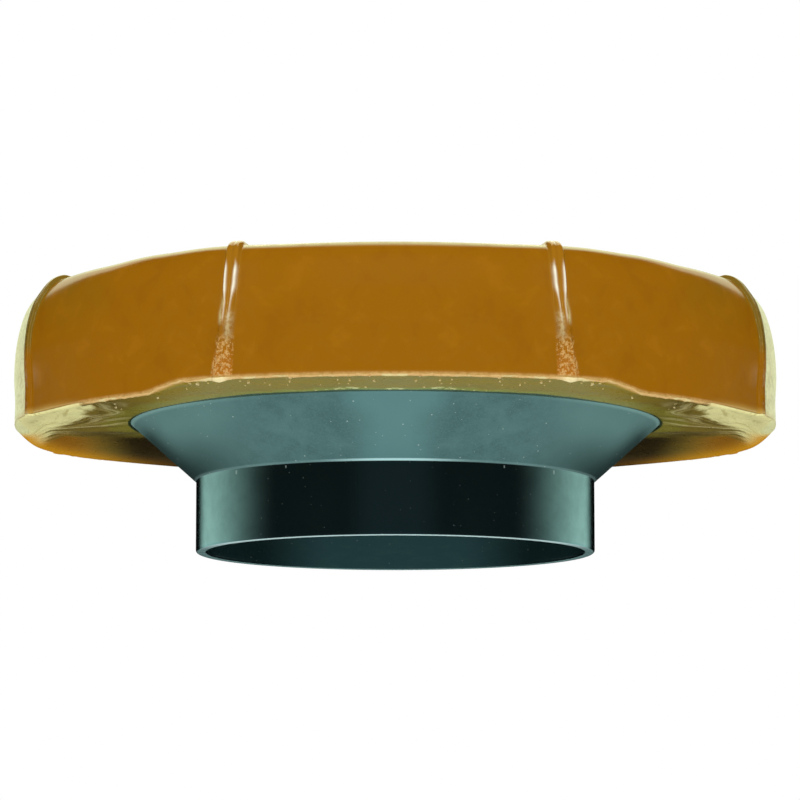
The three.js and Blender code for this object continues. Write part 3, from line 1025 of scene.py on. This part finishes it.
def plastic_horn():
    inner = SPIGOT_RADIUS - HORN_WALL
    inner_neck = NECK_HEIGHT + HORN_WALL * (math.hypot(CONE_RUN, CONE_RISE) - CONE_RISE) / CONE_RUN
    outline = rounded_outline([
        (SPIGOT_RADIUS, 0, RIM_ROUNDING),
        (SPIGOT_RADIUS, NECK_EDGE, NECK_ROUNDING),
        (cone_radius(FLANGE_UNDERSIDE, 0), FLANGE_UNDERSIDE, NECK_ROUNDING),
        (FLANGE_RADIUS, FLANGE_UNDERSIDE, FLANGE_ROUNDING),
        (FLANGE_RADIUS, FLANGE_TOP, FLANGE_ROUNDING),
        (cone_radius(FLANGE_TOP, -HORN_WALL), FLANGE_TOP, NECK_ROUNDING),
        (inner, inner_neck, NECK_ROUNDING),
        (inner, 0, RIM_ROUNDING),
    ])
    turns = np.linspace(0, 2 * math.pi, HORN_SEGMENTS, endpoint=False)[:, None]
    radius, level = outline[:, 0], outline[:, 1]
    points = around_axis(turns, radius, level)
    all_over = np.ones(points.shape[:2])

    # Masks: the inside, the painted highlight towards each side of the spigot, and the sides of the cone
    # that get painted shade
    middle = cone_radius(level, -HORN_WALL / 2)
    wall_middle = np.where(level > NECK_HEIGHT, middle, SPIGOT_RADIUS - HORN_WALL / 2)
    facing = np.degrees(np.arcsin(np.abs(np.sin(turns))))
    masks = {
        "inside": all_over * (radius < wall_middle),
        "side_highlight": all_over * smooth(facing, 34, 70) ** 1.2 * (1 - smooth(facing, 70, 78)),
        "limb": all_over * smooth(facing, 64, 84),
    }
    faces = grid_faces(HORN_SEGMENTS, len(outline))
    made = mesh_object("moulded_plastic_horn", points, faces, horn_material(), masks, HORN_SHARP)
    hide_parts("plastic_horn")
    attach(made, "root")


# Floor, light and camera

FLOOR_SIZE = 8.0
FLOOR_DROP = 0.2 * MM  # below the rim that the seal stands on
FLOOR_COLOUR = (0.88, 0.88, 0.87, 1)
FLOOR_FADE = (0.25, 1.5)  # distances from the middle between which the floor fades into the white room


def floor():
    """A pale floor that can be seen from above only."""
    half = FLOOR_SIZE / 2
    mesh = bpy.data.meshes.new("floor")
    corners = [(-half, -half), (half, -half), (half, half), (-half, half)]
    mesh.from_pydata([(x, y, -FLOOR_DROP) for x, y in corners], [], [(0, 1, 2, 3)])
    made = add_object("floor", mesh)
    material, paint = new_material("floor")
    seen_from_below = paint.node("ShaderNodeNewGeometry", {}).outputs["Backfacing"]
    away = paint.node("ShaderNodeVectorMath", {0: paint.place()}, operation="LENGTH").outputs["Value"]
    hidden = paint.math("MAXIMUM", seen_from_below, paint.span(away, *FLOOR_FADE))
    cloth = paint.node("ShaderNodeBsdfDiffuse", {"Color": FLOOR_COLOUR}).outputs[0]
    clear = paint.node("ShaderNodeBsdfTransparent", {}).outputs[0]
    mixed = paint.node("ShaderNodeMixShader", {0: hidden, 1: cloth, 2: clear})
    paint.node("ShaderNodeOutputMaterial", {"Surface": mixed.outputs[0]})
    mesh.materials.append(material)
    for ray in ("diffuse", "glossy", "transmission", "shadow"):
        setattr(made, "visible_" + ray, False)


WHITE = (1, 1, 1, 1)
ROOM_LEVEL = 0.7  # soft light from above on every surface
TABLE_GLOW = 1.0  # and from below, thrown back by the pale table
BACK_LEVEL = 0.92  # of the pale wall behind, as gloss shows it
OVERHEAD_LEVEL = 0.6
BAND_LEVEL = 0.6
PANEL_LEVEL = 3.0
TABLE_LEVEL = 0.35
BACK_COLOUR = (0.96, 1.0, 0.68)
LOW_COLOUR = (0.72, 1.0, 0.95)
PANEL_FOCUS = 0.99  # forward part of the direction that the panels' edges slant towards


def world():
    """Even soft light. Gloss sees a pale wall behind, a low band at both sides, two slanted panels and a
    table. Only the camera sees the room as plain white."""
    made = bpy.data.worlds.new("studio")
    bpy.context.scene.world = made
    made.use_nodes = True
    made.cycles.sampling_method = "NONE"
    sky = Shader(made.node_tree)
    direction = sky.node("ShaderNodeTexCoord", {}).outputs["Generated"]
    parts = sky.node("ShaderNodeSeparateXYZ", {"Vector": direction}).outputs
    forward, up = parts["Y"], parts["Z"]
    sideways = sky.math("ABSOLUTE", parts["X"])
    squares = sky.total(sky.product(sideways, sideways), sky.product(forward, forward))
    azimuth = sky.math("ARCTAN2", sideways, sky.product(forward, -1.0))
    rise = sky.math("ARCTAN2", up, sky.math("SQRT", squares))
    slant = sky.math("ARCTAN2", sideways, sky.math("SUBTRACT", PANEL_FOCUS, forward))

    def above(value, degrees, soft):
        return sky.span(value, math.radians(degrees - soft), math.radians(degrees + soft))

    def within(value, low, high, soft):
        return sky.product(above(value, low, soft), sky.math("SUBTRACT", 1.0, above(value, high, soft)))

    # The wall stands behind, reaches further forward at mid height than low down, and leans over the top
    narrower = sky.span(rise, math.radians(24), math.radians(7), 0, math.radians(18))
    wider = sky.product(within(rise, 33, 50, 7), math.radians(5))
    shifted = sky.total(sky.math("SUBTRACT", azimuth, narrower), wider)
    wall = sky.product(above(shifted, 145, 2.5), sky.span(forward, 0.13, 0.19), above(rise, 15, 3))
    overhead = sky.product(wall, above(rise, 24, 14))

    # A low band at each side, two panels above, and the table below
    fading = sky.math("SUBTRACT", 1.0, above(azimuth, 144, 5))
    band = sky.product(above(azimuth, 100, 16), fading, within(rise, -3, 6.8, 0.8))
    panel = sky.product(within(slant, 20.3, 23.3, 0.6), within(rise, 17, 50, 4))
    table = sky.span(up, -0.75, -0.9)

    wall_light = sky.product(wall, BACK_LEVEL)
    high = sky.total(wall_light, sky.product(overhead, OVERHEAD_LEVEL), sky.product(panel, PANEL_LEVEL))
    low = sky.total(sky.product(band, BAND_LEVEL), sky.product(table, TABLE_LEVEL))
    both = sky.total(low, high)
    tint = sky.blend(sky.math("DIVIDE", low, sky.total(both, 0.001)), BACK_COLOUR, LOW_COLOUR)
    around = sky.span(up, -0.1, 0.1, TABLE_GLOW, ROOM_LEVEL)
    rays = sky.node("ShaderNodeLightPath", {}).outputs
    seen = sky.node("ShaderNodeBackground", {"Color": WHITE, "Strength": around}).outputs[0]
    for ray, colour, level in (("Is Glossy Ray", tint, both), ("Is Camera Ray", WHITE, 1.0)):
        shown = sky.node("ShaderNodeBackground", {"Color": colour, "Strength": level}).outputs[0]
        seen = sky.node("ShaderNodeMixShader", {0: rays[ray], 1: seen, 2: shown}).outputs[0]
    sky.node("ShaderNodeOutputWorld", {"Surface": seen})


LAMP_PLACE = np.array([0, -1.3, 1.5])
LAMP_AIM = np.array([0, 0, 0.03])
LAMP_SIZE = 1.2
LAMP_POWER = 14  # watts


def key_lamp():
    """A soft square lamp above the front that lights the seal and is not seen itself."""
    data = bpy.data.lights.new("key_lamp", "AREA")
    data.size = LAMP_SIZE
    data.energy = LAMP_POWER
    made = add_object("key_lamp", data)
    made.location = LAMP_PLACE
    toward = LAMP_AIM - LAMP_PLACE
    tilt = math.atan2(math.hypot(toward[0], toward[1]), -toward[2])
    made.rotation_euler = (tilt, 0, math.atan2(toward[1], toward[0]) - math.pi / 2)
    made.visible_camera = False
    made.visible_glossy = False


# The camera, fitted to the photo: the seal's axis stands a little left of the picture's middle
CAMERA_DISTANCE = 0.7598
CAMERA_HEIGHT = -0.0683
CAMERA_ASIDE = 0.0009
CAMERA_PITCH = 0.128  # radians upwards
CAMERA_LENS = 179.9
SENSOR_WIDTH = 36


def camera():
    data = bpy.data.cameras.new("camera")
    data.lens = CAMERA_LENS
    data.sensor_width = SENSOR_WIDTH
    data.clip_start = 0.01
    made = add_object("camera", data)
    made.location = (CAMERA_ASIDE, -CAMERA_DISTANCE, CAMERA_HEIGHT)
    made.rotation_euler = (math.pi / 2 + CAMERA_PITCH, 0, 0)
    bpy.context.scene.camera = made


camera()
world()
floor()
key_lamp()
wax_ring()
wax_flash()
plastic_horn()

bpy.context.scene.view_settings.view_transform = "Standard"
